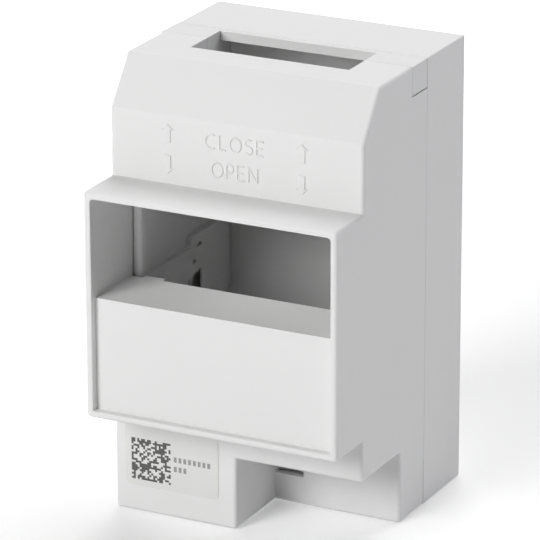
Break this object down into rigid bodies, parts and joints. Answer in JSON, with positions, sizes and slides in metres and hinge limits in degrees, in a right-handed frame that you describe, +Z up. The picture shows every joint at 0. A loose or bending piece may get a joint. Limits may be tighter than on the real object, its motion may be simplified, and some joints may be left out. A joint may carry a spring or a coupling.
{
  "type": "din rail enclosure",
  "caption": "Light grey plastic housing for a 35 mm rail, with a sliding hood, a front cavity above a recessed panel, a roof window and a sprung rail latch.",
  "frame": {"origin": "centre of the rail seat on the flat back, at the middle of the 35 mm rail", "axes": "+Z up, the front with the rim faces -Y, +X to the right seen from the front"},
  "size_m": [0.0524, 0.0583, 0.09],
  "materials": {
    "hood_plastic": "fine moulded texture",
    "shell_plastic": "fine moulded texture",
    "frame_plastic": "fine moulded texture",
    "latch_plastic": "fine moulded texture",
    "spring_steel": "drawn wire",
    "label_film": "satin film"
  },
  "bodies": {
    "base": {"rear_housing": "shell_plastic", "inner_frame": "frame_plastic", "latch_spring": "spring_steel"},
    "hood": {"front_housing": "hood_plastic", "label": "label_film"},
    "latch": {"rail_latch": "latch_plastic"}
  },
  "joints": [
    {"name": "hood_slide", "type": "slide", "parent": "base", "child": "hood", "axis": [0, 0, -1], "range_m": [0, 0.004]},
    {"name": "latch_slide", "type": "slide", "parent": "base", "child": "latch", "axis": [0, 0, -1], "range_m": [0, 0.004], "stiffness_N_per_m": 500, "springref_m": -0.002, "deforming": ["latch_spring"]}
  ]
}
